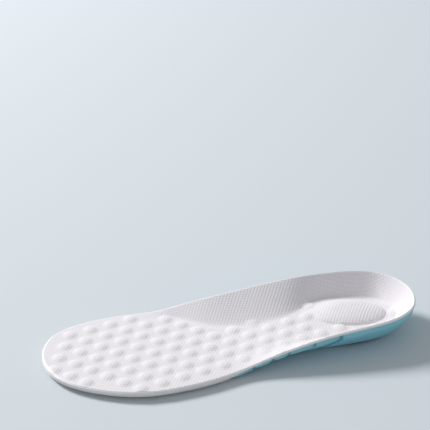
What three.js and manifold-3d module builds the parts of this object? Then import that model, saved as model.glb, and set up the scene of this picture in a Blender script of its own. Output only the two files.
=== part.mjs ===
// Cushioned insole for a left shoe, lying face up on its sole.
// Millimetres. +X points to the toe, +Y to the little-toe side (lateral), +Z up. The origin is on the
// ground, in the middle of the insole's box.
import * as THREE from "three";
import { mergeVertices } from "three/addons/utils/BufferGeometryUtils.js";
import Module from "manifold-3d";

const { clamp, degToRad, lerp, smoothstep } = THREE.MathUtils;
const wasm = await Module();
wasm.setup();

// ---- Driving dimensions ----

const LENGTH = 250; // heel to toe, about a size EU 40
const HALF = LENGTH / 2;
const AXIS_Y = -6.4; // the heel-to-toe line, which runs closer to the inner edge of the foot

const COVER_THICKNESS = 1; // knitted cover
const FOAM_THICKNESS = 1.6; // soft foam under the cover, measured upright
const FOREFOOT_TOP = 6; // height of the cover in front of the arch
const HEEL_TOP = 9; // height of the cover in the bottom of the heel cup
const LAYER_GAP = 0.3; // glue line between two layers
const WALL_FILLET = 0.25; // how round the foot of the inner wall is, as a share of the wall's width
const SHELL_LIP = 1.2; // height of the shell's edge under the rim
const RIM_STEP = 1.2; // how far the shell stays behind the rim
const FOREFOOT_SOLE = 0.8; // ground clearance of the forefoot base, which stands on its grip pad

const HINGE_X = 50; // the ball of the foot, where the insole bends
const HINGE_GAP = 0.3;

const DOME = { x: -81.3, y: AXIS_Y - 4.5, halfLength: 25.6, halfWidth: 16, height: 4.8, turn: -12 };
const GEL = { x: -77.5, y: AXIS_Y, halfLength: 27.5, halfWidth: 20.5, height: 3, edge: 0.8 };
const GRIP_HEIGHT = 1.4;

// Each edge from heel to toe: share of the length, distance from the heel-to-toe line, height of the
// rim, width of the sloping wall inside the rim, and width of the wall's foot outside.
const LATERAL_EDGE = [
  [0.02, 18.0, 23.2, 12, 17],
  [0.06, 28.0, 23.6, 13, 17],
  [0.12, 33.8, 23.1, 15, 18],
  [0.2, 35.7, 21.6, 15, 17.5],
  [0.3, 37.0, 18.4, 15, 19],
  [0.4, 38.4, 13.0, 14, 19],
  [0.45, 39.5, 9.8, 13, 17],
  [0.5, 41.6, 7.0, 12, 15],
  [0.55, 45.0, 6.0, 10, 12],
  [0.6, 48.4, 6.0, 10, 12],
  [0.66, 51.0, 6.0, 10, 12],
  [0.73, 52.3, 6.0, 10, 12],
  [0.82, 48.6, 6.0, 10, 12],
  [0.91, 38.0, 6.0, 10, 12],
  [0.97, 24.5, 6.0, 10, 12],
];
const MEDIAL_EDGE = [
  [0.02, 18.0, 23.2, 12, 17],
  [0.06, 28.5, 23.2, 11, 16],
  [0.12, 34.0, 23.2, 10, 14],
  [0.2, 36.0, 23.0, 10.5, 14],
  [0.26, 36.0, 22.7, 14, 15],
  [0.3, 35.7, 22.4, 21, 19],
  [0.34, 35.2, 21.8, 26, 20.5],
  [0.4, 34.3, 20.7, 28, 20.5],
  [0.46, 33.4, 19.0, 26.5, 20.5],
  [0.51, 33.3, 17.4, 23, 20.5],
  [0.57, 34.9, 14.1, 17, 17],
  [0.61, 36.6, 11.3, 11, 14],
  [0.645, 37.8, 8.6, 7, 12],
  [0.68, 38.7, 6.9, 7, 12],
  [0.75, 39.6, 6.0, 7, 12],
  [0.83, 38.2, 6.0, 10, 12],
  [0.91, 33.0, 6.0, 10, 12],
  [0.97, 22.8, 6.0, 10, 12],
];

// The line across the sole where the heel and arch shell ends and the forefoot base begins, from the
// outer edge to the inner edge, as distances from the middle of the insole's axis.
const SHELL_END = [
  [22, 56],
  [12.5, 45],
  [3, 37.8],
  [-6, 31],
  [-13, 24.4],
  [-15.5, 17.6],
  [-13, 10.9],
  [-3, 2.5],
  [11, -9.2],
  [27.3, -21.8],
  [50, -43],
];

// Corners of the kite-shaped grip pad, and the radius that rounds each.
const GRIP_CORNERS = [
  [-16, 18.5, 9],
  [-1, 33, 13],
  [48, 30, 10],
  [55, 9, 60],
  [72, -18.5, 7],
  [33, -23, 9],
];

// ---- Plan and heights ----

const SEGMENTS = 64; // steps round the edge
const RINGS = [0.24, 0.44, 0.58, 0.7, 0.8, 0.88, 0.95, 1]; // from the spine to the edge
const SPINE_HEEL = -89;
const SPINE_TOE = 80;

// Smooth values along one edge. Its distance from the axis is held as a share of the sine, which keeps
// the ends round.
function edgeCurve(stations) {
  const angle = ([share]) => Math.acos(1 - 2 * share);
  const values = stations.flatMap((station) => {
    const [, reach, ...rest] = station;
    return [reach / Math.sin(angle(station)), ...rest];
  });
  return new THREE.CubicInterpolant(stations.map(angle), values, 4);
}

const lateral = edgeCurve(LATERAL_EDGE);
const medial = edgeCurve(MEDIAL_EDGE);

function edgeAt(curve, fromHeel) {
  const [roundness, rim, wall, foot] = curve.evaluate(fromHeel);
  return { reach: roundness * Math.sin(fromHeel), rim: Math.max(rim, FOREFOOT_TOP), wall, foot };
}

// The point at `turn` (0 at the toe, a half at the heel) and `share` of the way from the spine to the rim.
function planPoint(turn, share, inset) {
  const theta = 2 * Math.PI * turn;
  const side = turn <= 0.5 ? 1 : -1;
  const rimX = HALF * Math.cos(theta);
  const edge = edgeAt(side > 0 ? lateral : medial, Math.acos(clamp(-Math.cos(theta), -1, 1)));
  const rim = new THREE.Vector2(rimX, AXIS_Y + side * edge.reach);
  const spineX = clamp(rimX, SPINE_HEEL, SPINE_TOE);
  const fromHeel = Math.acos(-spineX / HALF);
  const middle = (edgeAt(lateral, fromHeel).reach - edgeAt(medial, fromHeel).reach) / 2;
  const spine = new THREE.Vector2(spineX, AXIS_Y + middle);
  const reach = rim.distanceTo(spine);
  const along = Math.min(share, 1 - inset / reach);
  const at = spine.lerp(rim, along);
  return { x: at.x, y: at.y, depth: reach * (1 - along), edge };
}

function floorHeight(x) {
  return lerp(HEEL_TOP, FOREFOOT_TOP, smoothstep((x + HALF) / LENGTH, 0.32, 0.55));
}

// Upper side of the cover, without the heel dome.
function topHeight({ x, depth, edge }) {
  const floor = floorHeight(x);
  const up = clamp(1 - depth / edge.wall, 0, 1);
  const rise = (Math.hypot(up, WALL_FILLET) - WALL_FILLET) / (Math.hypot(1, WALL_FILLET) - WALL_FILLET);
  return floor + Math.max(edge.rim - floor, 0) * rise;
}

// Under side of the heel and arch shell: flat, then curving up to its lip under the rim.
function shellSole({ depth, edge }) {
  const lip = edge.rim - COVER_THICKNESS - FOAM_THICKNESS - 2 * LAYER_GAP - SHELL_LIP;
  const roundness = 1.5;
  return lip * Math.pow(clamp(1 - depth / edge.foot, 0, 1), roundness);
}

// Under side of the forefoot base: flat, and bevelled up towards the rim.
function baseSole({ depth }) {
  const bevelWidth = 3.5;
  const bevelHeight = 1.3;
  return FOREFOOT_SOLE + bevelHeight * (1 - smoothstep(depth, 0, bevelWidth));
}

// Height of the heel dome over the floor of the cup; `spread` widens or narrows it.
function domeRise({ x, y }, spread = 1.15) {
  const at = new THREE.Vector2(x - DOME.x, y - DOME.y);
  at.rotateAround(new THREE.Vector2(), -degToRad(DOME.turn));
  const away = Math.hypot(at.x / DOME.halfLength, at.y / DOME.halfWidth);
  return DOME.height * (1 - smoothstep(away / spread, 0.5, 1));
}

// ---- Solids ----

function closedGeometry(geometry) {
  const bare = geometry.index ? geometry.clone() : mergeVertices(geometry);
  bare.deleteAttribute("normal");
  bare.deleteAttribute("uv");
  return mergeVertices(bare, 1e-4);
}

function solidOf(geometry) {
  const closed = closedGeometry(geometry);
  const corners = closed.index.array;
  const faces = [];
  for (let i = 0; i < corners.length; i += 3) {
    const [a, b, c] = corners.slice(i, i + 3);
    if (a !== b && b !== c && c !== a) faces.push(a, b, c);
  }
  const vertProperties = new Float32Array(closed.attributes.position.array);
  const triVerts = new Uint32Array(faces);
  return new wasm.Manifold(new wasm.Mesh({ numProp: 3, vertProperties, triVerts }));
}

function geometryOf(solid) {
  const { vertProperties, triVerts } = solid.getMesh();
  const geometry = new THREE.BufferGeometry();
  geometry.setAttribute("position", new THREE.BufferAttribute(new Float32Array(vertProperties), 3));
  geometry.setIndex(new THREE.BufferAttribute(new Uint32Array(triVerts), 1));
  return geometry;
}

// Splits each four-sided face of a disc's upper side along the same diagonal as the face below it, so
// that two layers lie on each other without crossing.
function matchDiagonals(index, rowLength, firstUpper) {
  for (let i = 0; i < index.length; i += 6) {
    const [a, b, d, c] = index.slice(i, i + 4);
    if (a % rowLength >= firstUpper) index.set([a, b, c, a, c, d], i);
  }
}

// A layer with the insole's outline between two heights: a turned disc, pulled out to the plan shape.
function layer(top, bottom, inset = 0) {
  const under = [0, ...RINGS].map((share) => new THREE.Vector2(share, 0));
  const over = [...RINGS].reverse().concat(0).map((share) => new THREE.Vector2(share, 1));
  const profile = [...under, ...over];
  const geometry = new THREE.LatheGeometry(profile, SEGMENTS);
  const position = geometry.attributes.position;
  for (let i = 0; i < position.count; i++) {
    const step = Math.floor(i / profile.length) % SEGMENTS;
    const { x: share, y: isTop } = profile[i % profile.length];
    const point = planPoint(step / SEGMENTS, share, inset);
    position.setXYZ(i, point.x, point.y, isTop ? top(point) : bottom(point));
  }
  matchDiagonals(geometry.index.array, profile.length, under.length);
  return solidOf(geometry);
}

function box(lowX, highX) {
  const side = 400;
  const geometry = new THREE.BoxGeometry(highX - lowX, side, side);
  return solidOf(geometry.translate((lowX + highX) / 2, 0, 0));
}

const behindHinge = box(-HALF - 10, HINGE_X - HINGE_GAP / 2);
const beforeHinge = box(HINGE_X + HINGE_GAP / 2, HALF + 10);

// An upright prism over everything in front of the shell's end line, moved `shift` towards the toe.
function forefootPrism(shift) {
  const line = SHELL_END.map(([x, y]) => new THREE.Vector2(x + shift, y + AXIS_Y));
  const shape = new THREE.Shape();
  shape.moveTo(line[0].x, line[0].y);
  shape.splineThru(line.slice(1));
  shape.lineTo(HALF + 20, line.at(-1).y);
  shape.lineTo(HALF + 20, line[0].y);
  const options = { depth: 60, bevelEnabled: false, curveSegments: 30 };
  return solidOf(new THREE.ExtrudeGeometry(shape, options).translate(0, 0, -20));
}

// A polygon whose corners are rounded, as a shape.
function roundedShape(corners) {
  const shape = new THREE.Shape();
  corners.forEach(([x, y, radius], i) => {
    const at = new THREE.Vector2(x, y);
    const before = new THREE.Vector2(...corners.at(i - 1));
    const after = new THREE.Vector2(...corners[(i + 1) % corners.length]);
    const reach = (to) => Math.min(radius, at.distanceTo(to) * 0.45);
    const start = at.clone().lerp(before, reach(before) / at.distanceTo(before));
    const end = at.clone().lerp(after, reach(after) / at.distanceTo(after));
    if (i) shape.lineTo(start.x, start.y);
    else shape.moveTo(start.x, start.y);
    shape.quadraticCurveTo(at.x, at.y, end.x, end.y);
  });
  shape.closePath();
  return shape;
}

function gripPrism(grow, low, high) {
  const centre = new THREE.Vector2(27, 5);
  const corners = GRIP_CORNERS.map(([x, y, radius]) => {
    const out = new THREE.Vector2(x, y).sub(centre);
    out.setLength(out.length() + grow);
    return [centre.x + out.x, centre.y + out.y + AXIS_Y, radius];
  });
  const options = { depth: high - low, bevelEnabled: false, curveSegments: 6 };
  return solidOf(new THREE.ExtrudeGeometry(roundedShape(corners), options).translate(0, 0, low));
}

// An oval disc with a small rounded edge, or a plain one where edge is 0.
function oval({ x, y, halfLength, halfWidth }, grow, low, high, edge) {
  const share = 1 - edge / halfWidth;
  const profile = [[0, low], [share, low], [1, low + edge], [1, high], [0, high]];
  const points = profile.map(([radius, z]) => new THREE.Vector2(radius, z));
  const geometry = new THREE.LatheGeometry(points, 48).rotateX(Math.PI / 2);
  geometry.scale(halfLength + grow, halfWidth + grow, 1);
  return solidOf(geometry.translate(x, y, 0));
}

// The foam insert that raises the cover in the heel, with its flat side down.
function domeInsert() {
  const shares = [0.3, 0.5, 0.65, 0.78];
  const profile = [0, ...shares].map((share) => new THREE.Vector2(share, 0));
  profile.push(...shares.reverse().concat(0).map((share) => new THREE.Vector2(share, 1)));
  const geometry = new THREE.LatheGeometry(profile, 40).rotateX(Math.PI / 2);
  geometry.scale(DOME.halfLength, DOME.halfWidth, 1);
  geometry.rotateZ(degToRad(DOME.turn));
  geometry.translate(DOME.x, DOME.y, 0);
  const position = geometry.attributes.position;
  const low = HEEL_TOP - COVER_THICKNESS;
  const filled = 0.75; // how much of the dome's rise the insert fills
  const spread = 0.85;
  for (let i = 0; i < position.count; i++) {
    const point = { x: position.getX(i), y: position.getY(i) };
    const high = low + domeRise(point, spread) * filled;
    position.setZ(i, position.getZ(i) > 0.5 ? high : low);
  }
  return solidOf(geometry);
}

// ---- Pieces ----

const foamTop = COVER_THICKNESS + LAYER_GAP;
const foamBottom = foamTop + FOAM_THICKNESS;
const lowerTop = foamBottom + LAYER_GAP;

const cover = layer(
  (p) => topHeight(p) + domeRise(p),
  (p) => topHeight(p) + domeRise(p) - COVER_THICKNESS,
);
const foam = layer(
  (p) => topHeight(p) - foamTop,
  (p) => topHeight(p) - foamBottom,
);
const gelPocket = oval(GEL, LAYER_GAP, -5, GEL.height + LAYER_GAP, 0);
const shell = layer((p) => topHeight(p) - lowerTop, shellSole, RIM_STEP)
  .subtract(forefootPrism(0))
  .subtract(gelPocket);
const base = layer((p) => topHeight(p) - lowerTop, baseSole)
  .intersect(forefootPrism(2 * LAYER_GAP))
  .subtract(gripPrism(2 * LAYER_GAP, -5, GRIP_HEIGHT + LAYER_GAP));
const gripPad = gripPrism(0, 0, GRIP_HEIGHT);

// ---- Materials ----

const finish = (color, roughness) => new THREE.MeshStandardMaterial({ color, roughness, metalness: 0 });
const knit = finish(0xe8e6ea, 0.95);
const whiteFoam = finish(0xece8e5, 0.8);
const bluePolyurethane = finish(0xb4dce8, 0.6);
const blueGel = finish(0x3f5f92, 0.35);
const whiteRubber = finish(0xf3f0ef, 0.55);

// ---- The assembly ----

const insole = new THREE.Group();
insole.name = "cushioned_insole";

function add(name, solid, material) {
  const mesh = new THREE.Mesh(geometryOf(solid), material);
  mesh.name = name;
  insole.add(mesh);
}

function addSplit(name, solid, material) {
  add(`${name}_rear`, solid.intersect(behindHinge), material);
  add(`${name}_front`, solid.intersect(beforeHinge), material);
}

addSplit("top_cover", cover, knit);
addSplit("cushion_layer", foam, whiteFoam);
add("heel_cushion_dome", domeInsert(), whiteFoam);
add("heel_arch_shell", shell, bluePolyurethane);
add("heel_gel_pad", oval(GEL, 0, 0, GEL.height, GEL.edge), blueGel);
addSplit("forefoot_base", base, whiteFoam);
addSplit("grip_pad", gripPad, whiteRubber);

export default insole;
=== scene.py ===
"""Cushioned insole for a left shoe: the looks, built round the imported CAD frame.

Shapes are worked out in millimetres, in the frame's axes: +X to the toe, +Y to the little toe, +Z up.
Each layer is a closed slab over a plan, a flat mesh that knows how far each point is from the rim.
"""
import math

import bmesh
import bpy
import numpy as np
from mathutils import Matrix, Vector


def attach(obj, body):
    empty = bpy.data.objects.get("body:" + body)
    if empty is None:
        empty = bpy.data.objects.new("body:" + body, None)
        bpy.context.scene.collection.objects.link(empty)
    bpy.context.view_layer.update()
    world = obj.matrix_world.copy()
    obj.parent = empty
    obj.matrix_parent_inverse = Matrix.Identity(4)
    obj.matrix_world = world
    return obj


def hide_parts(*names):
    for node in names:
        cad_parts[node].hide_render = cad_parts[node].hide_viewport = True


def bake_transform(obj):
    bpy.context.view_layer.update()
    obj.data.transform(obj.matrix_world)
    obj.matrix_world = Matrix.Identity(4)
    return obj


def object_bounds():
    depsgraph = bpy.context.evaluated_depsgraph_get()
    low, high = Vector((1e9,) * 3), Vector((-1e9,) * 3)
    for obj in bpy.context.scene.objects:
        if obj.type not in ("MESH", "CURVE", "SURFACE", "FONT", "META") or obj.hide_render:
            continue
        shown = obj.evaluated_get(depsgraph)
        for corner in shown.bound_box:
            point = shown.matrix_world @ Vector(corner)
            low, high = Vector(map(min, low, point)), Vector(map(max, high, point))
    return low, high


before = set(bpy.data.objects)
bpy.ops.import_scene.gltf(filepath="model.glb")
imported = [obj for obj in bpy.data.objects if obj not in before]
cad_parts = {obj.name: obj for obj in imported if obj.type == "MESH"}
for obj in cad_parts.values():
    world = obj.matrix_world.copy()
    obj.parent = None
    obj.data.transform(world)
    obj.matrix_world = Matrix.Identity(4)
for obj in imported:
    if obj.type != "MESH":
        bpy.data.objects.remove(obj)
cad_low, cad_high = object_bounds()

MM = 0.001

# ---- The design's driving dimensions, as the CAD has them ----

HALF = (cad_high.x - cad_low.x) / 2 / MM
AXIS_Y = -6.4  # the heel-to-toe line
COVER_THICKNESS = 1.0
FOAM_THICKNESS = 1.6
LAYER_GAP = 0.3
FOREFOOT_TOP = 6.0
HEEL_TOP = 9.0
SHELL_LIP = 1.2
RIM_STEP = 1.2
FOREFOOT_SOLE = 0.8
SPINE_HEEL = -89.0
SPINE_TOE = 80.0

# Each edge from heel to toe: share of the length, distance from the heel-to-toe line, height of the
# rim, width of the sloping wall inside the rim, and width of the wall's foot outside.
LATERAL_EDGE = [
    [0.02, 18.0, 23.2, 12, 17],
    [0.06, 28.0, 23.6, 13, 17],
    [0.12, 33.8, 23.1, 15, 18],
    [0.2, 35.7, 21.6, 15, 17.5],
    [0.3, 37.0, 18.4, 15, 19],
    [0.4, 38.4, 13.0, 14, 19],
    [0.45, 39.5, 9.8, 13, 17],
    [0.5, 41.6, 7.0, 12, 15],
    [0.55, 45.0, 6.0, 10, 12],
    [0.6, 48.4, 6.0, 10, 12],
    [0.66, 51.0, 6.0, 10, 12],
    [0.73, 52.3, 6.0, 10, 12],
    [0.82, 48.6, 6.0, 10, 12],
    [0.91, 38.0, 6.0, 10, 12],
    [0.97, 24.5, 6.0, 10, 12],
]
MEDIAL_EDGE = [
    [0.02, 18.0, 23.2, 12, 17],
    [0.06, 28.5, 23.2, 11, 16],
    [0.12, 34.0, 23.2, 10, 14],
    [0.2, 36.0, 23.0, 10.5, 14],
    [0.26, 36.0, 22.7, 14, 15],
    [0.3, 35.7, 22.4, 21, 19],
    [0.34, 35.2, 21.8, 26, 20.5],
    [0.4, 34.3, 20.7, 28, 20.5],
    [0.46, 33.4, 19.0, 26.5, 20.5],
    [0.51, 33.3, 17.4, 23, 20.5],
    [0.57, 34.9, 14.1, 17, 17],
    [0.61, 36.6, 11.3, 11, 14],
    [0.645, 37.8, 8.6, 7, 12],
    [0.68, 38.7, 6.9, 7, 12],
    [0.75, 39.6, 6.0, 7, 12],
    [0.83, 38.2, 6.0, 10, 12],
    [0.91, 33.0, 6.0, 10, 12],
    [0.97, 22.8, 6.0, 10, 12],
]
# Where the shell ends and the forefoot base begins under the foot, from the outer edge to the inner one.
SHELL_END = [
    [22, 56], [12.5, 45], [3, 37.8], [-6, 31], [-13, 24.4], [-15.5, 17.6],
    [-13, 10.9], [-3, 2.5], [11, -9.2], [27.3, -21.8], [50, -43],
]
# Corners of the grip pad and the radius that rounds each.
GRIP_CORNERS = [
    [-16, 18.5, 9], [-1, 33, 13], [48, 30, 10], [55, 9, 60], [72, -18.5, 7], [33, -23, 9],
]

# The CAD's dome has the same place and size, with an evenly rounded top.
DOME_AT = (-81.3, AXIS_Y - 4.5)
DOME_HALF = (25.6, 16.0)
DOME_HEIGHT = 4.8
DOME_TURN = math.radians(-12)

GEL_AT = (-77.5, AXIS_Y)
GEL_HALF = (27.5, 20.5)
GEL_HEIGHT = 3.0

# ---- What the CAD doesn't have, or has otherwise, in mm unless it says so ----

RIM_FLAT = 0.9  # the width of the rim's rounded top, which the CAD doesn't have
WALL_FILLET = 0.14  # how round the wall's foot is, as a share of its width; 0.25 in the CAD
BUMP_AT = (59.0, 16.0)  # the middle of one bump
BUMP_STEPS = ((14.0, 3.5), (5.0, 12.5))  # from one bump to its neighbours
BUMP_RADIUS = 5.9
BUMP_HEIGHT = 0.95
BUMP_REACH = 14  # how many steps of the lattice are tried each way

COARSE_STEP = 6  # a hidden side uses one ring in so many
FACE_GAP = 0.02  # keeps faces that lie on each other apart
COVER_INSET = 0.35  # how far a layer's wall starts inside the rim, before it bulges outwards
FOAM_INSET = 0.5
BASE_INSET = 0.4
COVER_ROUNDING = 0.9  # the radius of the cover's upper edge
RIM_THINNING = 1.35  # how much thinner the foam is at the rim of the shell
ARCH_FROM = 6  # the arch side starts this far from the heel-to-toe line

RIB_ANGLE = 59  # degrees from the X axis
RIB_PITCH = 2.0
RIB_HEIGHT = 0.17
RIB_ON_DOME = 0.8  # shares of RIB_HEIGHT
RIB_ON_WALL = 0.35
WEAVE_TURN = 72  # degrees from the ribs to the knit's second lines
WEAVE_PITCH = 1.6

PIT_COUNT = 10
PIT_DEPTH = 2.0
PIT_ROWS = [  # first and last pit, and half the width and height of one
    ((-44.2, -11.1), (1.2, -11.7), (1.75, 2.2)),
    ((-46.7, -21.5), (6.4, -23.2), (1.8, 2.5)),
]
FAN_CREASES = [  # from the rim to the arc at their foot
    ((-66, 36.5), (-35.8, 16.1)),
    ((-48, 38.5), (-32.2, 17.7)),
    ((-29.4, 40), (-27.8, 19)),
    ((-17.5, 41), (-22.4, 19.5)),
    ((-5, 40), (-17, 19.6)),
]
FAN_RISE = 1.1
SHELL_ROUNDNESS = 1.5  # the power of the curve from the flat sole up to the shell's lip
SHELL_EDGE_RISE = 0.3
GEL_GROOVE = 1.1  # the depth of the groove round the gel pad
SHELL_END_GROOVE = 0.9

TRIM_FIRST = 4.0  # the outermost trim line's distance from the toe
TRIM_PITCH = 6.6
TRIM_COUNT = 5
TRIM_STEP = 0.16  # the sole rises so much at each trim line, towards the toe
TRIM_GROOVE = 0.3
CENTRE_LINE_OFFSET = 1  # the two lines at the toe's middle: where, and half the way between them
CENTRE_LINE_HALF = 1.3
BASE_END_GROOVE = 0.7
BASE_BEVEL = (1.5, 3.5)  # its height and width; 1.3 high in the CAD
PAD_GROOVE = 0.4

GRIP_HEIGHT = 1.4
GRIP_INSET = 0.25
GRIP_EDGE = 0.7  # how far the pad's lower edge is rounded up
PILLOW_AT = (17.9, 12.3 + AXIS_Y)
PILLOW_STEPS = ((1.5, -4.8), (6.5, 3.2))
PILLOW_DEPTH = 0.75
PILLOW_ROUNDNESS = 0.45

HEX_PITCH = 7.0  # between neighbours along the insole
HEX_ROWS = 4.85  # between rows across it
HEX_REACH = 6  # how many cells are made each way from the middle
HEX_RINGS = [(0, 0), (0.45, 0), (0.7, 0.03), (0.78, 0.12), (0.83, 0.4), (0.88, 0.8), (0.93, 1), (1, 1)]
HEX_GROOVE = 1.0
GEL_SOLE = 0.3  # the cells' height over the ground
GEL_RIM = 0.95  # where the smooth rim round the cells begins
GEL_RIM_RINGS = [  # each ring's share of the oval and its depth, in grooves; negative stands proud
    (0.957, -0.15), (0.967, -0.28), (0.98, -0.28), (0.99, -0.15), (1.0, 0.25),
]
INSERT_SHARE = 0.95  # the dome insert's size as a share of the dome

# ---- The stage, in metres ----

FLOOR_HALF = 12.0
FLOOR_HEIGHT = -0.0002
LIGHTS = [  # name, place, size, power in watts, colour; each looks at the origin
    ("key", (1.8, -2.0, 1.95), 1.0, 108.0, (1.0, 0.985, 0.975)),
    ("fill", (-0.4, 2.0, 1.2), 1.5, 2.0, (0.97, 0.985, 1.0)),
]
WORLD_STRENGTH = 0.45
CAMERA_AIM = (0.0034, 0.003, 0)
CAMERA_DISTANCE = 0.9
CAMERA_PLACE_DEG = (166.48, 33.88)  # azimuth and elevation of the camera from the point it aims past
CAMERA_TURN_DEG = (167.22, 28.22)  # its heading and how steeply it looks down
CAMERA_LENS = 114.33  # mm, on a sensor 36 mm wide


# ---- Numbers ----

def smoothstep(value, low, high):
    """0 before low, 1 after high, and a smooth rise between them."""
    share = np.clip((value - low) / (high - low), 0, 1)
    return share * share * (3 - 2 * share)


def lerp(start, end, share):
    """The value that lies at that share of the way from start to end."""
    return start + (end - start) * share


def smooth_curve(knots, values):
    """A smooth curve through rows of values at the knots, straight at its ends."""
    count = len(knots)
    step = np.diff(knots)
    slope = np.diff(values, axis=0) / step[:, None]
    matrix = np.eye(count)
    right = np.zeros_like(values)
    for i in range(1, count - 1):
        matrix[i, i - 1:i + 2] = step[i - 1], 2 * (step[i - 1] + step[i]), step[i]
        right[i] = 6 * (slope[i] - slope[i - 1])
    bend = np.linalg.solve(matrix, right)

    def at(place):
        place = np.clip(place, knots[0], knots[-1])
        i = np.clip(np.searchsorted(knots, place) - 1, 0, count - 2)
        width = step[i][:, None]
        before = (knots[i + 1] - place)[:, None] / width
        after = 1 - before
        curved = (before ** 3 - before) * bend[i] + (after ** 3 - after) * bend[i + 1]
        return before * values[i] + after * values[i + 1] + curved * width ** 2 / 6

    return at


def edge_curve(stations):
    """An edge's reach as a share of the sine, which keeps the ends round, and its rim, wall and foot."""
    table = np.array(stations, float)
    angle = np.arccos(1 - 2 * table[:, 0])
    values = table[:, 1:].copy()
    values[:, 0] /= np.sin(angle)
    return smooth_curve(angle, values)


lateral_edge = edge_curve(LATERAL_EDGE)
medial_edge = edge_curve(MEDIAL_EDGE)


def edge_values(curve, from_heel):
    """Columns: distance from the axis, rim height, wall width and foot width."""
    values = curve(from_heel)
    values[:, 0] *= np.sin(from_heel)
    values[:, 1] = np.maximum(values[:, 1], FOREFOOT_TOP)
    return values


def line_distance(x, y, line, closed=False):
    """How far each point is from a line of points; positive on the left of its way."""
    ends = np.roll(line, -1, axis=0) if closed else line[1:]
    starts = line if closed else line[:-1]
    nearest = np.full(len(x), np.inf)
    signed = np.zeros(len(x))
    for (ax, ay), (bx, by) in zip(starts, ends):
        dx, dy = bx - ax, by - ay
        along = np.clip(((x - ax) * dx + (y - ay) * dy) / (dx * dx + dy * dy), 0, 1)
        away = np.hypot(x - ax - along * dx, y - ay - along * dy)
        side = np.sign(dx * (y - ay) - dy * (x - ax))
        closer = away < nearest - 1e-9
        nearest[closer] = away[closer]
        signed[closer] = (away * np.where(side == 0, 1, side))[closer]
    return signed


def curve_through(points, count):
    """A smooth open line through the points, with count points of its own."""
    corners = np.array(points, float)
    along = np.concatenate([[0], np.cumsum(np.hypot(*np.diff(corners, axis=0).T))])
    return smooth_curve(along, corners)(np.linspace(0, along[-1], count))


def rounded_outline(corners, grow=0.0):
    """The grip pad's outline: straight sides with rounded corners, moved outwards by grow."""
    spots = np.array([corner[:2] for corner in corners], float) + [0, AXIS_Y]
    line = []
    for i, (_, _, radius) in enumerate(corners):
        at = spots[i]
        before, after = spots[i - 1], spots[(i + 1) % len(spots)]
        start = at + (before - at) * min(radius / np.hypot(*(before - at)), 0.45)
        end = at + (after - at) * min(radius / np.hypot(*(after - at)), 0.45)
        for share in np.linspace(0, 1, 9):
            line.append((1 - share) ** 2 * start + 2 * share * (1 - share) * at + share ** 2 * end)
    line = np.array(line)[::-1]
    way = np.roll(line, -1, axis=0) - np.roll(line, 1, axis=0)
    out = np.stack([way[:, 1], -way[:, 0]], axis=1) / np.hypot(way[:, 0], way[:, 1])[:, None]
    return line + out * grow


# ---- Plans ----

class Plan:
    """Points of a flat mesh and its faces. The columns are x, y, and then what is known at each point:
    distance inwards from the rim, rim height, wall width and foot width."""

    def __init__(self, data, faces):
        self.data = data
        self.faces = faces
        self.x = data[:, 0]
        self.y = data[:, 1]
        if data.shape[1] > 3:
            self.depth, self.rim, self.wall, self.foot = data[:, 2:6].T


def face_edges(face):
    """Each edge of a face, as the pair of points it runs between."""
    return zip(face, list(face[1:]) + [face[0]])


def welded(data, face_lists):
    """Joins points that lie together, and drops the faces that this closes."""
    first = {}
    new_index = np.zeros(len(data), int)
    kept = []
    for i, key in enumerate(map(tuple, np.round(data[:, :2] / 1e-5).astype(np.int64).tolist())):
        if key not in first:
            first[key] = len(kept)
            kept.append(i)
        new_index[i] = first[key]
    joined = []
    for faces in face_lists:
        corners = [list(dict.fromkeys(face)) for face in new_index[np.array(faces)].tolist()]
        joined.append([face for face in corners if len(face) > 2])
    return data[kept], joined


def half_turns(count, rear_detail):
    """Angles from the toe (0) to the heel (pi), evenly spaced along the rim, closer behind the ball."""
    fine = np.linspace(0, math.pi, 4001)
    x = HALF * np.cos(fine)
    length = np.zeros(len(fine) - 1)
    for curve in (lateral_edge, medial_edge):
        reach = edge_values(curve, math.pi - fine)[:, 0]
        length += np.hypot(np.diff(x), np.diff(reach)) / 2
    length *= lerp(rear_detail, 1, smoothstep(x[1:], 10, 30))
    along = np.concatenate([[0], np.cumsum(length)])
    return np.interp(np.linspace(0, along[-1], count + 1), along, fine)


def insole_plan(half_count, shares, inset=0.0, rear_detail=1.0):
    """The insole's plan: rings from the spine (share 0) to the rim (share 1), moved in by inset."""
    half = half_turns(half_count, rear_detail)
    turns = np.concatenate([half, 2 * math.pi - half[-2:0:-1]])
    outer = np.arange(len(turns)) <= half_count
    side = np.where(outer, 1, -1)[:, None]
    from_heel = np.where(outer, math.pi - turns, turns - math.pi)
    lateral, medial = edge_values(lateral_edge, from_heel), edge_values(medial_edge, from_heel)
    edge = np.where(outer[:, None], lateral, medial)
    rim = np.stack([HALF * np.cos(turns), AXIS_Y + side[:, 0] * edge[:, 0]], axis=1)
    spine_x = np.clip(rim[:, 0], SPINE_HEEL, SPINE_TOE)
    at_spine = np.arccos(-spine_x / HALF)
    middle = (edge_values(lateral_edge, at_spine)[:, 0] - edge_values(medial_edge, at_spine)[:, 0]) / 2
    spine = np.stack([spine_x, AXIS_Y + middle], axis=1)
    reach = np.hypot(*(rim - spine).T)
    rows = []
    for share in shares:
        along = share * (1 - inset / reach)
        place = spine + (rim - spine) * along[:, None]
        rows.append(np.column_stack([place, reach * (1 - along), edge[:, 1:]]))
    every = list(range(len(shares)))
    coarse = every[:-8:COARSE_STEP] + every[-1:]
    data, (fine_faces, coarse_faces) = welded(
        np.concatenate(rows), [ring_faces(every, len(turns)), ring_faces(coarse, len(turns))])
    plan = Plan(data, fine_faces)
    plan.coarse_faces = coarse_faces
    return plan


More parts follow.
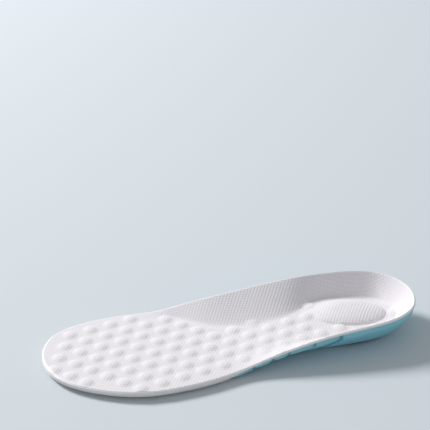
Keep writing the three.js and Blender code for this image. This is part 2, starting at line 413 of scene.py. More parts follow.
def ring_faces(rings, count):
    """Four-sided faces between those rings of count points each."""
    faces = []
    for inner, outer in zip(rings, rings[1:]):
        for turn in range(count):
            after = (turn + 1) % count
            faces.append((inner * count + turn, outer * count + turn,
                          outer * count + after, inner * count + after))
    return faces


def ring_shares(count, rim_share=0.035):
    """Even rings, then closer ones round the rim's edge."""
    even = np.linspace(0, 1 - rim_share, count)
    close = 1 - rim_share * np.array([0.7, 0.45, 0.25, 0.1, 0.03, 0])
    return np.concatenate([even, close])


def cut(plan, value):
    """Cuts a plan along value = 0. Returns all its points and the faces on the positive and negative side."""
    data = list(plan.data)
    made = {}
    above, below = [], []
    positive = value >= 0
    for face in plan.faces:
        signs = [bool(positive[i]) for i in face]
        if all(signs):
            above.append(face)
            continue
        if not any(signs):
            below.append(face)
            continue
        high, low = [], []
        for a, b in face_edges(face):
            (high if positive[a] else low).append(a)
            if positive[a] != positive[b]:
                key = (min(a, b), max(a, b))
                if key not in made:
                    share = value[key[0]] / (value[key[0]] - value[key[1]])
                    made[key] = len(data)
                    data.append(lerp(plan.data[key[0]], plan.data[key[1]], share))
                high.append(made[key])
                low.append(made[key])
        above.append(high)
        below.append(low)
    return np.array(data), above, below


def part(data, faces):
    """A plan of those faces only, without the points that none of them uses."""
    used = sorted({i for face in faces for i in face})
    place = {old: new for new, old in enumerate(used)}
    return Plan(data[used], [[place[i] for i in face] for face in faces])


def kept_side(plan, value):
    """The part of a plan where value is positive."""
    data, above, _ = cut(plan, value)
    return part(data, above)


# ---- Solids ----

def slab(upper, top, lower_parts, edge):
    """Points and faces of a closed solid between a plan's upper side and its lower side.

    lower_parts is a list of (faces, heights) over the same points; where two parts meet at different
    heights, an upright wall joins them. edge is a list of (share of the height, distance outwards)
    that gives the outer wall its section."""
    points, faces = [], []
    top_index = {}
    for face in upper.faces:
        for i in face:
            if i not in top_index:
                top_index[i] = len(points)
                points.append((upper.x[i], upper.y[i], top[i]))
        faces.append([top_index[i] for i in face])
    lower_index = []
    sides = {}
    for number, (part_faces, heights) in enumerate(lower_parts):
        index = {}
        for face in part_faces:
            for i in face:
                if i not in index:
                    index[i] = len(points)
                    points.append((upper.x[i], upper.y[i], heights[i]))
            faces.append([index[i] for i in reversed(face)])
            for a, b in face_edges(face):
                sides.setdefault((min(a, b), max(a, b)), []).append((number, a, b))
        lower_index.append(index)
    rim = []
    for found in sides.values():
        if len(found) == 1:
            rim.append(found[0])
        elif found[0][0] != found[1][0]:
            (one, a, b), (other, _, _) = found
            faces.append([lower_index[one][a], lower_index[one][b],
                          lower_index[other][b], lower_index[other][a]])
    out = {}
    for _, a, b in rim:
        way = np.array([upper.y[b] - upper.y[a], upper.x[a] - upper.x[b]])
        way /= max(np.hypot(*way), 1e-9)
        for i in (a, b):
            out[i] = out.get(i, 0) + way
    columns = {}
    for number, a, b in rim:
        for i in (a, b):
            if i in columns:
                continue
            low = lower_index[number][i]
            column = [low]
            outwards = out[i] / max(np.hypot(*out[i]), 1e-9)
            for share, distance in edge:
                column.append(len(points))
                height = lerp(points[low][2], top[i], share)
                x, y = upper.x[i] + outwards[0] * distance, upper.y[i] + outwards[1] * distance
                points.append((x, y, height))
            column.append(top_index[i])
            columns[i] = column
    for _, a, b in rim:
        for step in range(len(edge) + 1):
            faces.append([columns[a][step], columns[b][step], columns[b][step + 1], columns[a][step + 1]])
    return points, faces


def round_edge(radius, steps=5):
    """An outer wall that bulges by radius."""
    shares = (np.arange(steps) + 0.5) / steps
    return [(0.5 - 0.5 * math.cos(math.pi * s), radius * math.sin(math.pi * s)) for s in shares]


def make_piece(name, solid, material, crease=None, sharp_deg=50, share_name="crease"):
    """A closed mesh in the frame, in metres, with the place of each point kept for its materials.

    crease gives, for places in mm, how much painted light each point gets, from 0 to 1: painted shade in
    creases, pits and grooves, or the painted highlight on the cover's edge."""
    points, faces = solid
    mesh = bpy.data.meshes.new(name)
    mesh.from_pydata([(x * MM, y * MM, z * MM) for x, y, z in points], [], faces)
    work = bmesh.new()
    work.from_mesh(mesh)
    bmesh.ops.recalc_face_normals(work, faces=work.faces)
    work.to_mesh(mesh)
    work.free()
    mesh.shade_smooth()
    mesh.set_sharp_from_angle(angle=math.radians(sharp_deg))
    place = mesh.attributes.new("rest_place", "FLOAT_VECTOR", "POINT")
    co = np.zeros(len(mesh.vertices) * 3, np.float32)
    mesh.vertices.foreach_get("co", co)
    place.data.foreach_set("vector", co)
    # Kept on the mesh so the materials can paint shade in creases and pits, or a highlight on the cover's
    # edge.
    if crease:
        depth = mesh.attributes.new(share_name, "FLOAT", "POINT")
        depth.data.foreach_set("value", crease(co[0::3] / MM, co[1::3] / MM).astype(np.float32))
    mesh.materials.append(material)
    piece = bpy.data.objects.new(name, mesh)
    bpy.context.scene.collection.objects.link(piece)
    return piece


# ---- Heights ----

def floor_height(x):
    """The cover's height on the floor of the cup, which falls from the heel to the forefoot."""
    return lerp(HEEL_TOP, FOREFOOT_TOP, smoothstep((x + HALF) / (2 * HALF), 0.32, 0.55))


def wall_rise(plan):
    """0 on the floor of the cup and 1 at the rim."""
    up = np.clip(1 - (plan.depth - RIM_FLAT) / plan.wall, 0, 1)
    return (np.hypot(up, WALL_FILLET) - WALL_FILLET) / (math.hypot(1, WALL_FILLET) - WALL_FILLET)


def cover_top(plan):
    """The cover's height before the dome, bumps and ribs are added."""
    floor = floor_height(plan.x)
    return floor + np.maximum(plan.rim - floor, 0) * wall_rise(plan)


def dome_place(x, y):
    """Where a point is on the heel dome, as shares of its half length and half width."""
    dx, dy = x - DOME_AT[0], y - DOME_AT[1]
    cos, sin = math.cos(DOME_TURN), math.sin(DOME_TURN)
    return (dx * cos + dy * sin) / DOME_HALF[0], (dy * cos - dx * sin) / DOME_HALF[1]


def dome_rise(x, y):
    """The heel dome: a crisp cushion on the outer and heel sides, flowing out softly on the others."""
    along, across = dome_place(x, y)
    away = np.hypot(along, across)
    crisp = np.power(np.clip(1 - away ** 2, 0, 1), 0.58)
    soft = 1 - smoothstep(away, 0.25, 1.25)
    facing = (across * 0.9 - along * 0.55) / np.maximum(away, 1e-6)
    share = smoothstep(facing, -0.55, 0.45)
    return DOME_HEIGHT * lerp(soft, crisp, share)


def bump_room(plan):
    """1 where bumps stand: on the floor, away from the rim, the arch wall and the dome."""
    away = np.hypot(*dome_place(plan.x, plan.y))
    steepest = np.where(plan.y < AXIS_Y - ARCH_FROM, 0.4, 6.0)
    up_wall = cover_top(plan) - floor_height(plan.x)
    floor = 1 - smoothstep(up_wall, 0.3 * steepest, steepest)
    return floor * smoothstep(plan.depth, 1.5, 4.5) * smoothstep(away, 1.02, 1.16)


def bump_rise(plan):
    """The massage bumps on their slanting lattice, 1 at the middle of each."""
    room = bump_room(plan)
    rise = np.zeros(len(plan.x))
    reach = range(-BUMP_REACH, BUMP_REACH + 1)
    for place in [(i, j) for i in reach for j in reach]:
        at = np.array(BUMP_AT) + place @ np.array(BUMP_STEPS)
        if abs(at[0]) > HALF or abs(at[1] - AXIS_Y) > 0.45 * HALF:
            continue
        away = np.hypot(plan.x - at[0], plan.y - at[1])
        size = smoothstep(room[np.argmin(away)], 0.0, 0.6)
        rise = np.maximum(rise, size * (1 - smoothstep(away / BUMP_RADIUS, 0.2, 1)))
    return rise


def rib_rise(x, y):
    """Fine ribs of the knit on the dome and the walls, 0 to 1."""
    angle = math.radians(RIB_ANGLE)
    across = x * math.sin(angle) - y * math.cos(angle)
    return 0.5 + 0.5 * np.cos(2 * math.pi * across / RIB_PITCH)


def rib_room(plan):
    """How high the knit's ribs stand, as a share: on the heel dome and the arch wall."""
    away = np.hypot(*dome_place(plan.x, plan.y))
    on_dome = 1 - smoothstep(away, 0.85, 1.0)
    up_wall = cover_top(plan) - floor_height(plan.x)
    off_rim = smoothstep(plan.depth, 1.0, 2.5)
    on_wall = smoothstep(up_wall, 0.6, 2.0) * off_rim * smoothstep(plan.x, -118, -100)
    return np.maximum(RIB_ON_DOME * on_dome, RIB_ON_WALL * on_wall * (plan.y < AXIS_Y))


# ---- Materials ----

def material(name, roughness, sheen=0.0):
    """A new material, with its node tree and its shader."""
    made = bpy.data.materials.new(name)
    made.use_nodes = True
    shader = made.node_tree.nodes["Principled BSDF"]
    shader.inputs["Roughness"].default_value = roughness
    shader.inputs["Sheen Weight"].default_value = sheen
    shader.inputs["Sheen Roughness"].default_value = 0.6
    shader.inputs["Specular IOR Level"].default_value = 0.35
    return made, made.node_tree, shader


def srgb(red, green, blue):
    """A colour from its 8-bit sRGB values."""
    def linear(value):
        share = value / 255
        return share / 12.92 if share <= 0.04045 else ((share + 0.055) / 1.055) ** 2.4
    return (linear(red), linear(green), linear(blue), 1.0)


def rest_place(tree):
    """The place of a point in the part at rest, which doesn't slide when the part bends."""
    node = tree.nodes.new("ShaderNodeAttribute")
    node.attribute_name = "rest_place"
    return node.outputs["Vector"]


def noise(tree, place, scale, detail=2.0, roughness=0.5):
    """Soft noise, from 0 to 1."""
    node = tree.nodes.new("ShaderNodeTexNoise")
    node.inputs["Scale"].default_value = scale
    node.inputs["Detail"].default_value = detail
    node.inputs["Roughness"].default_value = roughness
    tree.links.new(place, node.inputs["Vector"])
    return node.outputs["Fac"]


def maths(tree, operation, first, second=None):
    """A Math node on sockets or plain numbers."""
    node = tree.nodes.new("ShaderNodeMath")
    node.operation = operation
    for socket, value in zip(node.inputs, (first, second)):
        if value is None:
            continue
        if isinstance(value, (int, float)):
            socket.default_value = value
        else:
            tree.links.new(value, socket)
    return node.outputs["Value"]


def span(tree, value, low, high, to_low, to_high):
    """The value, with low to high stretched to to_low to to_high."""
    node = tree.nodes.new("ShaderNodeMapRange")
    tree.links.new(value, node.inputs["Value"])
    names = ("From Min", "From Max", "To Min", "To Max")
    for name, number in zip(names, (low, high, to_low, to_high)):
        node.inputs[name].default_value = number
    return node.outputs["Result"]


def mixed(tree, share, first, second):
    """A colour between the first (share 0) and the second (share 1)."""
    node = tree.nodes.new("ShaderNodeMix")
    node.data_type = "RGBA"
    tree.links.new(share, node.inputs["Factor"])
    for socket, value in ((node.inputs["A"], first), (node.inputs["B"], second)):
        if isinstance(value, tuple):
            socket.default_value = value
        else:
            tree.links.new(value, socket)
    return node.outputs["Result"]


def bump(tree, shader, height, distance, strength):
    """Fine relief for the shader, so many metres high."""
    node = tree.nodes.new("ShaderNodeBump")
    node.inputs["Strength"].default_value = strength
    node.inputs["Distance"].default_value = distance
    tree.links.new(height, node.inputs["Height"])
    tree.links.new(node.outputs["Normal"], shader.inputs["Normal"])


def stripes(tree, place, angle_deg, pitch):
    """A wave from 0 to 1 whose lines run at that angle to the X axis."""
    turn = tree.nodes.new("ShaderNodeMapping")
    turn.inputs["Rotation"].default_value = (0, 0, -math.radians(angle_deg))
    tree.links.new(place, turn.inputs["Vector"])
    parts = tree.nodes.new("ShaderNodeSeparateXYZ")
    tree.links.new(turn.outputs["Vector"], parts.inputs["Vector"])
    angle = maths(tree, "MULTIPLY", parts.outputs["Y"], 2 * math.pi / pitch)
    return maths(tree, "ADD", maths(tree, "MULTIPLY", maths(tree, "COSINE", angle), 0.5), 0.5)


def painted_light_share(tree, name="crease"):
    """How much painted shade in creases a point gets, from 0 to 1, or another share kept on the mesh, such as
    the cover's painted rim highlight.
    """
    node = tree.nodes.new("ShaderNodeAttribute")
    node.attribute_name = name
    return node.outputs["Fac"]


def knit_material():
    """White knit: fine crossing lines, slow changes of tone, and a painted highlight, pure white, along the
    rim's edge.
    """
    made, tree, shader = material("white_knit", 0.9, sheen=0.25)
    place = rest_place(tree)
    first = stripes(tree, place, RIB_ANGLE, RIB_PITCH * MM)
    second = stripes(tree, place, RIB_ANGLE - WEAVE_TURN, WEAVE_PITCH * MM)
    weave = maths(tree, "MULTIPLY", first, second)
    patches = noise(tree, place, 260.0)
    tone = mixed(tree, patches, srgb(235, 232, 236), srgb(242, 239, 243))
    tone = mixed(tree, span(tree, weave, 0.0, 0.6, 0.35, 0.0), tone, srgb(216, 213, 218))
    # Painted highlight: the cover's edge is mixed to pure white, as if light caught the rounded rim.
    tone = mixed(tree, painted_light_share(tree, "rim"), tone, srgb(255, 255, 255))
    tree.links.new(tone, shader.inputs["Base Color"])
    tree.links.new(span(tree, patches, 0.3, 0.7, 0.84, 0.96), shader.inputs["Roughness"])
    bump(tree, shader, weave, 0.0003, 0.38)
    return made


def foam_material(name, light, dark, painted_shade_colour, roughness=0.75, cell_scale=900.0):
    """Smooth-skinned foam: fine cells, slow changes of tone, and painted shade in creases, pits and grooves.
    """
    made, tree, shader = material(name, roughness)
    place = rest_place(tree)
    cells = noise(tree, place, cell_scale, 3.0, 0.6)
    slow = noise(tree, place, 35.0)
    share = maths(tree, "MULTIPLY", slow, cells)
    tone = mixed(tree, span(tree, share, 0.15, 0.4, 0.0, 1.0), dark, light)
    # Painted shade: the darker colour is mixed in where shade falls in creases, pits and grooves.
    tree.links.new(mixed(tree, painted_light_share(tree), tone, painted_shade_colour), shader.inputs["Base Color"])
    rough = span(tree, cells, 0.3, 0.7, roughness - 0.08, roughness + 0.08)
    tree.links.new(rough, shader.inputs["Roughness"])
    bump(tree, shader, cells, 0.00012, 0.35)
    return made


# ---- The layers ----

def make_cover(knit):
    """The knitted cover: cup, dome, bumps and ribs, with a rounded upper edge."""
    upper = insole_plan(500, ring_shares(76), COVER_INSET, rear_detail=1.5)
    heights = cover_top(upper)
    dome = dome_rise(upper.x, upper.y)
    top = heights + dome
    up_arch = (heights - floor_height(upper.x)) * (upper.y < AXIS_Y - ARCH_FROM)
    top += BUMP_HEIGHT * bump_rise(upper) * (1 - smoothstep(up_arch, 0.2, 1.6))
    top += RIB_HEIGHT * rib_rise(upper.x, upper.y) * rib_room(upper)
    over = np.clip(COVER_ROUNDING - (upper.depth - COVER_INSET), 0, COVER_ROUNDING)
    top -= COVER_ROUNDING - np.sqrt(COVER_ROUNDING ** 2 - over ** 2)
    bottom = heights + dome - COVER_THICKNESS - LAYER_GAP / 2
    solid = slab(upper, top, [(upper.coarse_faces, bottom)], round_edge(COVER_INSET))
    # The rim share is kept on the mesh as the attribute that places the painted highlight on the cover's
    # edge.
    return make_piece("knit_top_cover", solid, knit, rim_share, share_name="rim")


def rim_share(x, y):
    """1 on the cover's edge, where the knit paints a highlight of pure white, 0 inside it."""
    turns = np.linspace(0, 2 * math.pi, 360, endpoint=False)
    from_heel = np.arccos(np.clip(-np.cos(turns), -1, 1))
    outer = edge_values(lateral_edge, from_heel)[:, 0]
    inner = edge_values(medial_edge, from_heel)[:, 0]
    edge_y = AXIS_Y + np.where(turns <= math.pi, outer, -inner)
    outline = np.column_stack([HALF * np.cos(turns), edge_y])
    return 1 - smoothstep(line_distance(x, y, outline, closed=True), 0.8, 1.6)


def make_foam_layer(foam):
    """The foam under the cover. Its rounded edge is the white band round the insole."""
    upper = insole_plan(300, ring_shares(26), FOAM_INSET, rear_detail=1.2)
    heights = cover_top(upper)
    top = heights - COVER_THICKNESS - LAYER_GAP / 2 - FACE_GAP
    bottom = heights - COVER_THICKNESS - FOAM_THICKNESS - 1.5 * LAYER_GAP + rim_thinning(upper)
    solid = slab(upper, top, [(upper.faces, bottom)], round_edge(FOAM_INSET))
    return make_piece("cushion_foam_layer", solid, foam)


def rim_thinning(plan):
    """The foam thins towards the rim of the shell, which follows it up."""
    behind_base = 1 - smoothstep(shell_end_distance(plan.x, plan.y), -6, 0)
    return RIM_THINNING * behind_base * (1 - smoothstep(plan.depth, 0.8, 5))


def lower_top(plan):
    """The upper side of the shell and the base, which lie against the foam."""
    under_foam = cover_top(plan) - COVER_THICKNESS - FOAM_THICKNESS - 1.5 * LAYER_GAP
    return under_foam - FACE_GAP + rim_thinning(plan)


def shell_end_distance(x, y):
    """How far a point is in front of the shell's end line."""
    line = curve_through(SHELL_END, 120) + [0, AXIS_Y]
    return line_distance(x, y, line)


def oval_share(x, y, middle, half):
    """0 at an oval's middle and 1 on its outline."""
    return np.hypot((x - middle[0]) / half[0], (y - middle[1]) / half[1])


def from_gel_pad(x, y):
    """How far a point is outside the gel pad's oval."""
    return (oval_share(x, y, GEL_AT, GEL_HALF) - 1) * GEL_HALF[1]


def pit_field(x, y):
    """Negative inside the two rows of diamond pits."""
    nearest = np.full(len(x), np.inf)
    for start, end, half in PIT_ROWS:
        for i in range(PIT_COUNT):
            share = i / (PIT_COUNT - 1)
            at_x, at_y = lerp(start[0], end[0], share), lerp(start[1], end[1], share) + AXIS_Y
            size = np.abs(x - at_x) / half[0] + np.abs(y - at_y) / half[1]
            nearest = np.minimum(nearest, size)
    return nearest - 1


def fan_lines():
    """The fan's creases as lines in the frame."""
    return [np.array(line, float) + [0, AXIS_Y] for line in FAN_CREASES]


def from_fan_creases(x, y):
    """How far a point is from the nearest crease of the fan, or from the arc at their foot."""
    lines = fan_lines()
    away = np.abs(line_distance(x, y, np.array([line[1] for line in lines])))
    for line in lines:
        away = np.minimum(away, np.abs(line_distance(x, y, line)))
    return away


def fan_rise(x, y):
    """The petals pressed into the outer side of the waist: rounded, with creases between them."""
    lines = fan_lines()
    foot = np.array([line[1] for line in lines])
    region = np.concatenate([[lines[0][0]], foot, [lines[-1][0]]])
    inside = line_distance(x, y, region, closed=True)
    within = smoothstep(inside, 0, 0.7)
    return FAN_RISE * within * (1 - 0.85 * smoothstep(from_fan_creases(x, y), 0.2, 3.2))


def shell_sole(plan):
    """The under side of the heel and arch shell."""
    lip = plan.rim - COVER_THICKNESS - FOAM_THICKNESS - 2 * LAYER_GAP - SHELL_LIP
    outwards = np.clip(1 - plan.depth / plan.foot, 0, 1)
    sole = (lip + SHELL_EDGE_RISE) * np.power(outwards, SHELL_ROUNDNESS)
    sole += fan_rise(plan.x, plan.y)
    sole += GEL_GROOVE * (1 - smoothstep(from_gel_pad(plan.x, plan.y), 0.2, 2.0))
    to_end = -shell_end_distance(plan.x, plan.y)
    sole += SHELL_END_GROOVE * (1 - smoothstep(to_end, 0, 1.1))
    return sole


def shell_painted_shade(x, y):
    """Painted shade in the pits, the creases of the fan and the groove round the gel pad."""
    pits = 1 - smoothstep(pit_field(x, y), 0, 0.3)
    creases = 0.75 * (1 - smoothstep(from_fan_creases(x, y), 0.25, 1.3))
    groove = 0.6 * (1 - smoothstep(from_gel_pad(x, y), 0.6, 2.6))
    return np.maximum(np.maximum(pits, creases), groove)


def carved(plan, fields):
    """Cuts areas out of a plan: all of it, the faces left, and the faces where each field is negative."""
    data, left, pockets = plan.data, plan.faces, []
    for field in fields:
        data, left, inside = cut(Plan(data, left), field(data[:, 0], data[:, 1]))
        pockets.append(inside)
    whole = Plan(data, left + [face for pocket in pockets for face in pocket])
    return whole, left, pockets


def make_shell(polyurethane):
    """The heel and arch shell, with its fan, its pits and the pocket for the gel pad."""
    plan = insole_plan(430, ring_shares(62), RIM_STEP, rear_detail=2.2)
    plan = kept_side(plan, -shell_end_distance(plan.x, plan.y))
    gel_gap = [half + LAYER_GAP for half in GEL_HALF]
    plan, left, pockets = carved(plan, [lambda x, y: oval_share(x, y, GEL_AT, gel_gap) - 1, pit_field])
    top = lower_top(plan)
    sole = np.minimum(shell_sole(plan), top - 0.4)
    pocket = np.full(len(top), GEL_HEIGHT + LAYER_GAP)
    pits = np.minimum(sole + PIT_DEPTH, top - 0.3)
    parts = [(left, sole), (pockets[0], pocket), (pockets[1], pits)]
    solid = slab(plan, top, parts, round_edge(0.3))
    return make_piece("heel_arch_shell_pu", solid, polyurethane, shell_painted_shade)


def toe_distance(x, y):
    """How far a point is behind the toe's edge, along the insole."""
    turns = np.linspace(-1, 1, 801) * math.acos(0.48)
    from_heel = math.pi - np.abs(turns)
    outer = edge_values(lateral_edge, from_heel)[:, 0]
    inner = edge_values(medial_edge, from_heel)[:, 0]
    edge_y = AXIS_Y + np.where(turns > 0, outer, -inner)
    return np.interp(y, edge_y, HALF * np.cos(turns)) - x


def from_trim_lines(x, y):
    """How far a point is behind each trim line, from the outermost on."""
    behind = toe_distance(x, y)
    return [behind - TRIM_FIRST - i * TRIM_PITCH for i in range(TRIM_COUNT)]


def centre_lines(x, y, depth, width):
    """The two short lines along the toe's middle, each so deep on the line and 0 away from it."""
    along = smoothstep(x, 88, 91) * (1 - smoothstep(x, 119, 121))
    middle = y - AXIS_Y + CENTRE_LINE_OFFSET
    return [depth * along * np.exp(-((middle + side * CENTRE_LINE_HALF) / width) ** 2)
            for side in (-1, 1)]


def base_sole(plan):
    """The under side of the forefoot base, with its trim lines."""
    sole = np.full(len(plan.x), FOREFOOT_SOLE)
    for from_line in from_trim_lines(plan.x, plan.y):
        sole += TRIM_STEP * (1 - smoothstep(from_line, -0.5, 0.5))
        sole += TRIM_GROOVE * np.exp(-(from_line / 0.55) ** 2)
    for line in centre_lines(plan.x, plan.y, TRIM_GROOVE, 0.45):
        sole += line
    to_end = shell_end_distance(plan.x, plan.y)
    sole += BASE_END_GROOVE * (1 - smoothstep(to_end, 0.1, 1.6))
    bevel_height, bevel_width = BASE_BEVEL
    sole += bevel_height * (1 - smoothstep(plan.depth, 0, bevel_width))
    pad = -line_distance(plan.x, plan.y, rounded_outline(GRIP_CORNERS, 2 * LAYER_GAP), closed=True)
    return sole + PAD_GROOVE * (1 - smoothstep(pad, 0, 1.0))


def base_painted_shade(x, y):
    """Painted shade in the trim lines and the groove round the grip pad."""
    crease = np.zeros(len(x))
    for from_line in from_trim_lines(x, y):
        crease = np.maximum(crease, 0.8 * np.exp(-(from_line / 0.8) ** 2))
    for line in centre_lines(x, y, 0.6, 0.6):
        crease = np.maximum(crease, line)
    pad = -line_distance(x, y, rounded_outline(GRIP_CORNERS, 2 * LAYER_GAP), closed=True)
    return np.maximum(crease, 1 - smoothstep(np.abs(pad), 0.2, 1.2))


def make_base(rubber):
    """The forefoot base, with its trim lines and the pocket for the grip pad."""
    plan = insole_plan(460, ring_shares(62), BASE_INSET, rear_detail=0.7)
    plan = kept_side(plan, shell_end_distance(plan.x, plan.y) - LAYER_GAP / 2)
    outline = rounded_outline(GRIP_CORNERS, 2 * LAYER_GAP)
    plan, left, pockets = carved(plan, [lambda x, y: -line_distance(x, y, outline, closed=True)])
    top = lower_top(plan)
    sole = np.minimum(base_sole(plan), top - 0.5)
    pocket = np.full(len(top), GRIP_HEIGHT + LAYER_GAP)
    parts = [(left, sole), (pockets[0], pocket)]
    solid = slab(plan, top, parts, round_edge(0.3))
    return make_piece("forefoot_base_sole", solid, rubber, base_painted_shade)


def pillow_rise(x, y):
    """The diamond pillows of the grip pad: 1 on top of each, 0 in the valleys."""
    steps = np.array(PILLOW_STEPS).T
    place = np.linalg.solve(steps, np.stack([x - PILLOW_AT[0], y - PILLOW_AT[1]]))
    valley = np.abs(np.cos(math.pi * place))
    return np.power(valley[0] * valley[1], PILLOW_ROUNDNESS)


def spread_evenly(line, count):
    """The closed line again, with count points evenly along it."""
    closed = np.vstack([line, line[:1]])
    along = np.concatenate([[0], np.cumsum(np.hypot(*np.diff(closed, axis=0).T))])
    at = np.linspace(0, along[-1], count, endpoint=False)
    return np.column_stack([np.interp(at, along, closed[:, i]) for i in (0, 1)])


def round_plan(outline, shares):
    """A plan of rings from an outline's middle out to it."""
    middle = outline.mean(axis=0)
    rows = [middle + (outline - middle) * share for share in shares]
    data, (faces,) = welded(np.concatenate(rows), [ring_faces(list(range(len(shares))), len(outline))])
    return Plan(data, faces)


def make_grip_pad(rubber):
    """The grip pad, with its diamond pillows and a rounded lower edge."""
    outline = spread_evenly(rounded_outline(GRIP_CORNERS, -GRIP_INSET), 440)
    shares = np.concatenate([np.linspace(0, 0.96, 62), [0.975, 0.985, 0.993, 1]])
    plan = round_plan(outline, shares)
    from_edge = line_distance(plan.x, plan.y, outline, closed=True)
    inner = smoothstep(from_edge, 1.2, 3.2)
    sole = PILLOW_DEPTH * inner * (1 - pillow_rise(plan.x, plan.y))
    sole += GRIP_EDGE * (1 - smoothstep(from_edge, 0, 1.3))
    top = np.full(len(sole), GRIP_HEIGHT)
    sole = np.minimum(sole, GRIP_HEIGHT - 0.3)
    solid = slab(plan, top, [(plan.faces, sole)], round_edge(0.2))
    return make_piece("grip_pad_pillows", solid, rubber, grip_painted_shade)


def grip_painted_shade(x, y):
    """Painted shade in the valleys between the pillows."""
    outline = rounded_outline(GRIP_CORNERS, -GRIP_INSET)
    inner = smoothstep(line_distance(x, y, outline, closed=True), 1.2, 3.2)
    return inner * np.clip(1 - pillow_rise(x, y), 0, 1)


def hex_plan():
    """The honeycomb: each cell is rings round its middle, with the depth of the groove in a third column."""
    squash = HEX_ROWS / (HEX_PITCH * math.sqrt(3) / 2)
    corner = HEX_PITCH / math.sqrt(3)
    turns = np.radians(np.arange(6) * 60 + 30)
    corners = np.column_stack([corner * np.cos(turns), corner * np.sin(turns) * squash])
    side = 4
    border = np.concatenate([
        corners[i] + (corners[(i + 1) % 6] - corners[i]) * np.linspace(0, 1, side, endpoint=False)[:, None]
        for i in range(6)])
    reach = range(-HEX_REACH, HEX_REACH + 1)
    data, faces = [], []
    for row in reach:
        for column in reach:
            middle = np.array(GEL_AT) + [(column + (row % 2) / 2) * HEX_PITCH, row * HEX_ROWS]
            first = len(data)
            for share, groove in HEX_RINGS:
                for place in border:
                    data.append([*(middle + place * share), groove])
            cell = ring_faces(list(range(len(HEX_RINGS))), len(border))
            faces += [[first + i for i in face] for face in cell]
    joined, (faces,) = welded(np.array(data), [faces])
    return Plan(joined, faces)


def gel_painted_shade(x, y):
    """Painted shade in the grooves between the hexagons."""
    corner_pitch = HEX_PITCH * math.sqrt(3) / 2
    across, along = (y - GEL_AT[1]) / HEX_ROWS, (x - GEL_AT[0]) / HEX_PITCH
    share = np.full(len(x), 9.0)
    for row in (np.floor(across), np.floor(across) + 1):
        shift = (row % 2) / 2
        dx = (along - shift - np.round(along - shift)) * HEX_PITCH
        dy = (across - row) * corner_pitch
        sides = [dx, dx / 2 + dy * math.sqrt(3) / 2, dx / 2 - dy * math.sqrt(3) / 2]
        share = np.minimum(share, np.max(np.abs(sides), axis=0) / (HEX_PITCH / 2))
    cells = smoothstep(oval_share(x, y, GEL_AT, GEL_HALF), GEL_RIM + 0.01, GEL_RIM - 0.01)
    return cells * smoothstep(share, 0.8, 0.93)


def make_gel_pad(gel):
    """The gel pad: the honeycomb cut to an oval, and rings that make the smooth rim round it."""
    plan = hex_plan()
    plan = kept_side(plan, GEL_RIM - oval_share(plan.x, plan.y, GEL_AT, GEL_HALF))
    data, faces = list(plan.data), list(plan.faces)
    once = {}
    for face in plan.faces:
        for a, b in face_edges(face):
            key = (min(a, b), max(a, b))
            once[key] = None if key in once else (a, b)
    border = [edge for edge in once.values() if edge]
    last = {i: i for edge in border for i in edge}
    for share, groove in GEL_RIM_RINGS:
        following = {}
        for i in last:
            place = np.array(GEL_AT) + (plan.data[i, :2] - GEL_AT) * share / GEL_RIM
            following[i] = len(data)
            data.append(np.array([*place, groove]))
        faces += [[last[a], following[a], following[b], last[b]] for a, b in border]
        last = following
    plan = Plan(np.array(data), faces)
    sole = GEL_SOLE + HEX_GROOVE * plan.data[:, 2]
    top = np.full(len(sole), GEL_HEIGHT)
    solid = slab(plan, top, [(plan.faces, sole)], round_edge(0.1))
    return make_piece("heel_gel_honeycomb", solid, gel, gel_painted_shade)


def make_dome_insert(foam):
    """The foam insert under the cover that raises the heel dome."""
    turns = np.linspace(0, 2 * math.pi, 120, endpoint=False)
    along = DOME_HALF[0] * INSERT_SHARE * np.cos(turns)
    across = DOME_HALF[1] * INSERT_SHARE * np.sin(turns)
    cos, sin = math.cos(DOME_TURN), math.sin(DOME_TURN)
    outline = np.column_stack([
        DOME_AT[0] + along * cos - across * sin, DOME_AT[1] + along * sin + across * cos])
    plan = round_plan(outline, np.linspace(0, 1, 26))
    bottom = np.full(len(plan.x), HEEL_TOP - COVER_THICKNESS - LAYER_GAP / 2)
    top = bottom + dome_rise(plan.x, plan.y) - 0.05
    return make_piece("heel_dome_insert", slab(plan, top, [(plan.faces, bottom)], round_edge(0.1)), foam)


# ---- The stage ----

def make_floor():
    """A plain pale floor, just under the insole."""
    made, _, shader = material("pale_floor", 0.95)
    shader.inputs["Specular IOR Level"].default_value = 0.05
    shader.inputs["Base Color"].default_value = srgb(212, 220, 225)
    mesh = bpy.data.meshes.new("floor")
    corners = [(-1, -1), (1, -1), (1, 1), (-1, 1)]
    mesh.from_pydata([(x * FLOOR_HALF, y * FLOOR_HALF, FLOOR_HEIGHT) for x, y in corners], [], [(0, 1, 2, 3)])
    mesh.materials.append(made)
    floor = bpy.data.objects.new("floor", mesh)
    bpy.context.scene.collection.objects.link(floor)


def area_light(name, place, size, power, colour):
    """A round soft light that looks at the origin."""
    data = bpy.data.lights.new(name, "AREA")
    data.shape = "DISK"
    data.size = size
    data.energy = power
    data.color = colour
    light = bpy.data.objects.new(name, data)
    light.location = place
    light.rotation_mode = "QUATERNION"
    light.rotation_quaternion = (-Vector(place)).to_track_quat("-Z", "Y")
    bpy.context.scene.collection.objects.link(light)


def make_light():
    """A key light, a weak fill and an even pale world."""
    for light in LIGHTS:
        area_light(*light)
    world = bpy.data.worlds.new("studio")
    world.use_nodes = True
    background = world.node_tree.nodes["Background"]
    background.inputs["Color"].default_value = srgb(234, 237, 240)
    background.inputs["Strength"].default_value = WORLD_STRENGTH
    bpy.context.scene.world = world


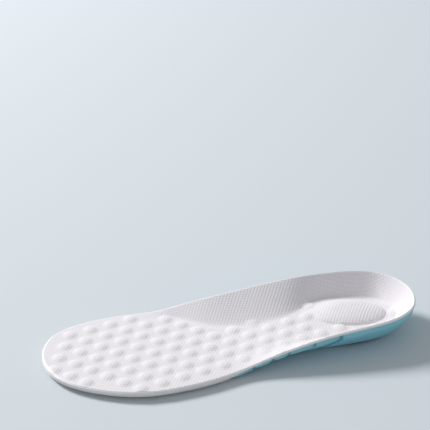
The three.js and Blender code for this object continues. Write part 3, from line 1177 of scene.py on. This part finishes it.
def make_camera():
    """Looks from the outer side over the heel's half, as steeply down as the product picture does."""
    azimuth, elevation = (math.radians(angle) for angle in CAMERA_PLACE_DEG)
    heading, down = (math.radians(angle) for angle in CAMERA_TURN_DEG)
    back = Vector((math.sin(azimuth) * math.cos(elevation), -math.cos(azimuth) * math.cos(elevation),
                   math.sin(elevation)))
    data = bpy.data.cameras.new("camera")
    data.lens = CAMERA_LENS
    data.sensor_width = 36
    camera = bpy.data.objects.new("camera", data)
    camera.location = Vector(CAMERA_AIM) + back * CAMERA_DISTANCE
    camera.rotation_mode = "XYZ"
    camera.rotation_euler = (math.pi / 2 - down, 0, heading)
    bpy.context.scene.collection.objects.link(camera)
    bpy.context.scene.camera = camera


def bend_with_toes(piece, *nodes):
    """A layer that crosses the ball of the foot: hides its two nodes and bakes the piece's place into its
    mesh.
    """
    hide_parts(*nodes)
    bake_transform(piece)


def main():
    """Makes the stage, the materials and the pieces, hides the CAD nodes each piece replaces, and hangs the
    heel pieces on the rearfoot body.
    """
    make_camera()
    make_floor()
    make_light()
    bpy.context.scene.view_settings.view_transform = "Standard"
    knit = knit_material()
    # The third colour of each foam is the painted shade in its creases, pits and grooves.
    white_foam = foam_material("white_foam", srgb(240, 238, 238), srgb(232, 229, 229), srgb(215, 212, 212))
    blue = foam_material(
        "blue_polyurethane", srgb(160, 215, 228), srgb(132, 198, 215), srgb(28, 128, 150), 0.55)
    white_base = foam_material(
        "white_base", srgb(240, 236, 234), srgb(232, 228, 226), srgb(214, 200, 198), 0.6)
    white_grip = foam_material(
        "white_grip", srgb(246, 243, 243), srgb(240, 236, 236), srgb(205, 198, 198), 0.5)
    gel = foam_material("blue_gel", srgb(72, 106, 160), srgb(60, 90, 142), srgb(24, 42, 84), 0.35)
    cover = make_cover(knit)
    bend_with_toes(cover, "top_cover_rear", "top_cover_front")
    foam = make_foam_layer(white_foam)
    bend_with_toes(foam, "cushion_layer_rear", "cushion_layer_front")
    insert = make_dome_insert(white_foam)
    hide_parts("heel_cushion_dome")
    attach(insert, "rearfoot")
    shell = make_shell(blue)
    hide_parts("heel_arch_shell")
    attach(shell, "rearfoot")
    gel_pad = make_gel_pad(gel)
    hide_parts("heel_gel_pad")
    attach(gel_pad, "rearfoot")
    base = make_base(white_base)
    bend_with_toes(base, "forefoot_base_rear", "forefoot_base_front")
    grip = make_grip_pad(white_grip)
    bend_with_toes(grip, "grip_pad_rear", "grip_pad_front")


main()
